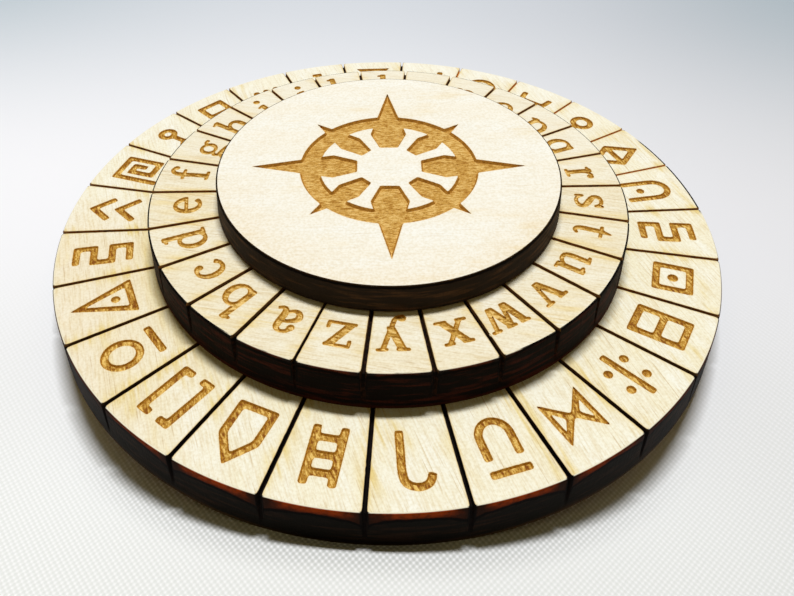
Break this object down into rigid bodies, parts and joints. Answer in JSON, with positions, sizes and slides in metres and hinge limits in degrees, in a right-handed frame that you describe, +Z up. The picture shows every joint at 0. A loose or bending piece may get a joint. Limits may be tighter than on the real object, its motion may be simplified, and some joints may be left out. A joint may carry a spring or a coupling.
{
  "type": "cipher wheel",
  "caption": "Wooden cipher wheel: an alphabet disc turns by hand between a wider base disc with a ring of marked cells and a small cap disc.",
  "frame": {"origin": "centre of the base disc's underside, on the axis about which the letter disc turns", "axes": "+Z up along the axis of the discs, from the base disc to the cap disc; -Y is the front, where a score line of the base disc lies"},
  "size_m": [0.0762, 0.0762, 0.0128],
  "materials": {
    "base_plywood": "bare birch-faced plywood with laser-charred edges and engraved marks",
    "card": "uncoated card",
    "hub_plywood": "bare plywood with laser-charred edge",
    "dowel_wood": "bare hardwood dowel",
    "letter_plywood": "bare birch-faced plywood with laser-charred edges and engraved letters",
    "cap_plywood": "bare birch-faced plywood with a laser-charred edge and an engraved star"
  },
  "bodies": {
    "base": {"base_disc": "base_plywood", "hub_spacer": "card", "hub": "hub_plywood", "centring_dowel": "dowel_wood", "cap_disc": "cap_plywood"},
    "letters": {"letter_disc": "letter_plywood"}
  },
  "joints": [
    {"name": "letter_turn", "type": "hinge", "parent": "base", "child": "letters", "pos_m": [0, 0, 0.0075], "axis": [0, 0, 1], "continuous": true}
  ]
}
